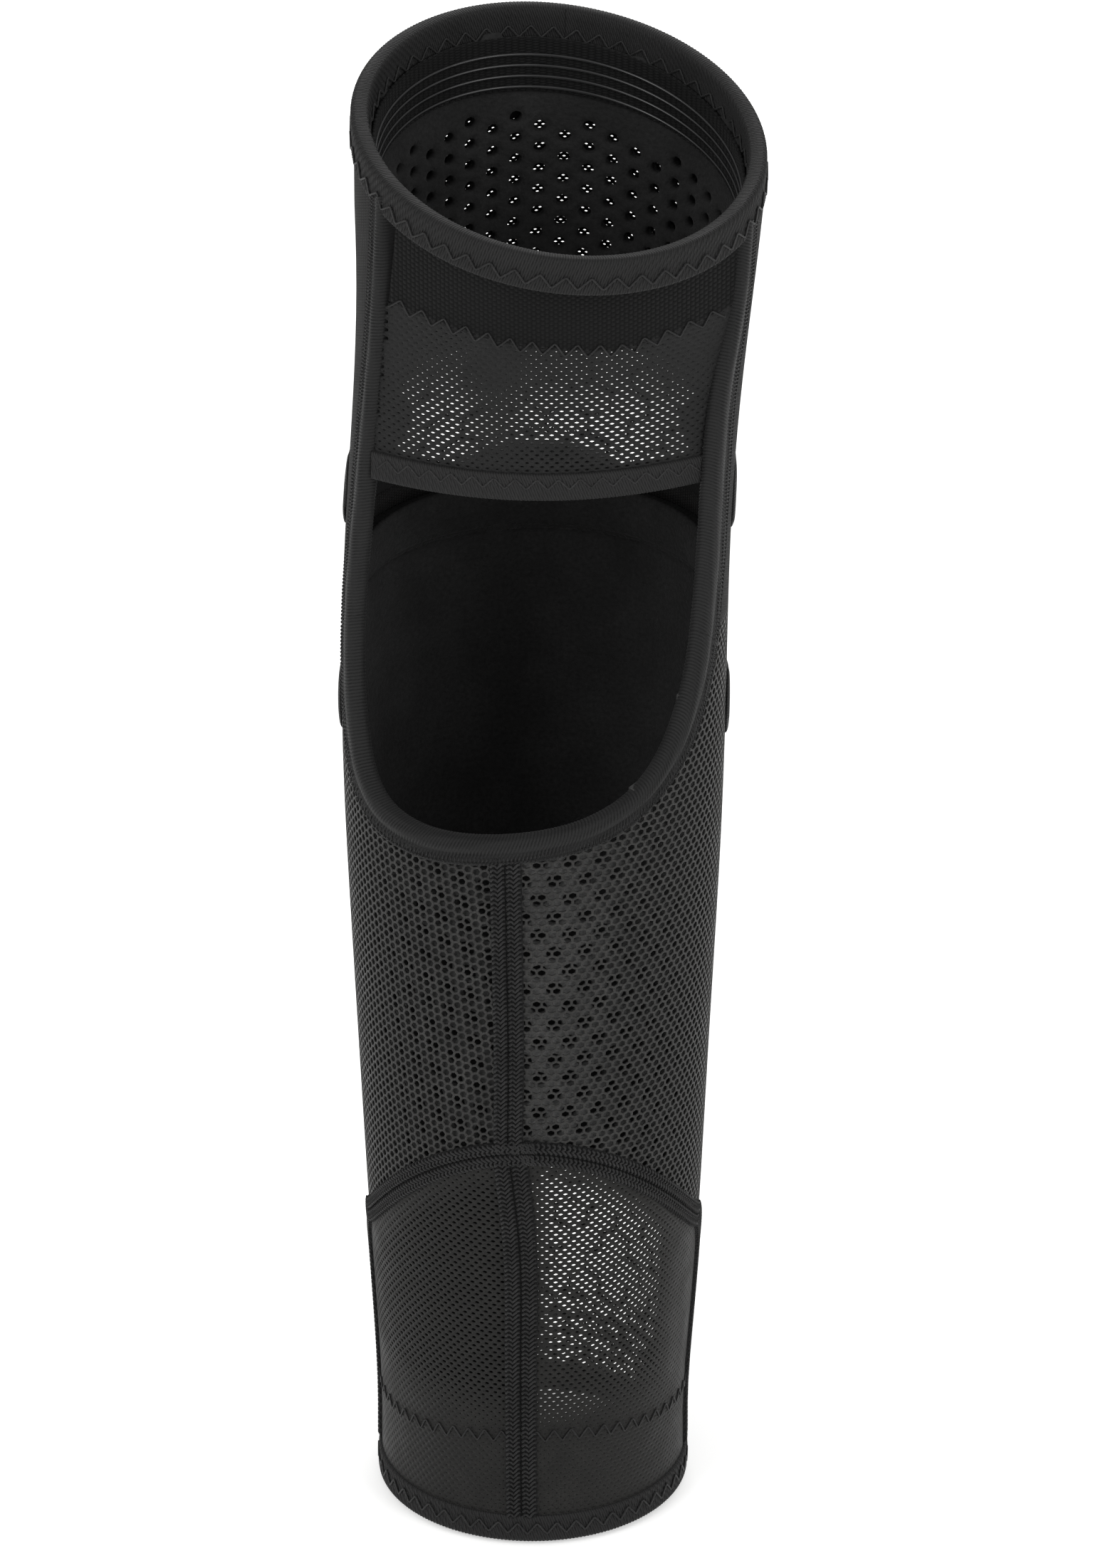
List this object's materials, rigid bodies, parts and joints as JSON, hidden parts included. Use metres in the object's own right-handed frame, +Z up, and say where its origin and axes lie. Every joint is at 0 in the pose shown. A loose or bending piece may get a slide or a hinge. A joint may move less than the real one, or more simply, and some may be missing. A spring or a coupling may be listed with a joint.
{
  "type": "shin guard",
  "caption": "Soft knee-and-shin guard: a knit sleeve with padded front, open behind the knee, with an elastic band above and gripper cuffs at both ends.",
  "frame": {"origin": "centre of the bottom hem, where the leg comes out of the sleeve", "axes": "+Z up the leg, -Y backwards to the calf side, +X to the right as seen from behind"},
  "size_m": [0.1331, 0.1341, 0.4802],
  "materials": {
    "outer_knit": "matt close knit",
    "open_mesh": "matt open mesh",
    "fine_mesh": "slightly shiny elastic mesh",
    "foam": "fabric-faced perforated foam",
    "lining": "brushed lining",
    "elastic_tape": "ribbed elastic tape",
    "gripper_elastic": "smooth elastic",
    "silicone": "glossy silicone",
    "seam_thread": "overlocked thread",
    "pad_cover": "hard-wearing woven cover over foam"
  },
  "bodies": {
    "shin": {"bottom_binding": "elastic_tape", "bottom_gripper_band": "gripper_elastic", "bottom_silicone_lines": "silicone", "lower_mesh_left": "fine_mesh", "lower_mesh_right": "fine_mesh", "lower_mesh_front": "fine_mesh", "lower_front_lining": "lining", "calf_mesh_left": "open_mesh", "calf_mesh_right": "open_mesh", "calf_foam_left": "foam", "calf_foam_right": "foam", "shin_shell": "outer_knit", "shin_foam": "foam", "shin_lining": "lining", "back_seam_upper": "seam_thread", "back_seam_lower": "seam_thread", "arch_seam_left": "seam_thread", "arch_seam_right": "seam_thread", "opening_binding": "elastic_tape", "shin_pad_1": "pad_cover", "shin_pad_2": "pad_cover", "shin_pad_3": "pad_cover", "shin_pad_4": "pad_cover", "side_pad_left_lower": "pad_cover", "side_pad_right_lower": "pad_cover"},
    "knee": {"knee_shell": "outer_knit", "knee_lining": "lining", "knee_cup": "pad_cover"},
    "thigh": {"thigh_vent": "open_mesh", "thigh_shell": "outer_knit", "thigh_foam": "foam", "thigh_lining": "lining", "top_gripper_band": "gripper_elastic", "top_silicone_lines": "silicone", "thigh_side_left": "outer_knit", "thigh_side_right": "outer_knit", "edge_binding_left": "elastic_tape", "edge_binding_right": "elastic_tape", "side_pad_left_upper": "pad_cover", "side_pad_right_upper": "pad_cover", "top_binding": "elastic_tape", "band_mesh": "fine_mesh", "band_yoke": "fine_mesh", "band_binding": "elastic_tape"}
  },
  "joints": [
    {"name": "knee_fold_lower", "type": "hinge", "parent": "shin", "child": "knee", "pos_m": [0, -0.036, 0.305], "axis": [1, 0, 0], "range_deg": [0, 45]},
    {"name": "knee_fold_upper", "type": "hinge", "parent": "knee", "child": "thigh", "pos_m": [0, -0.036, 0.305], "axis": [1, 0, 0], "range_deg": [0, 45]}
  ],
  "couplings": [
    {"joint": "knee_fold_upper", "follows": "knee_fold_lower", "ratio": 1}
  ]
}
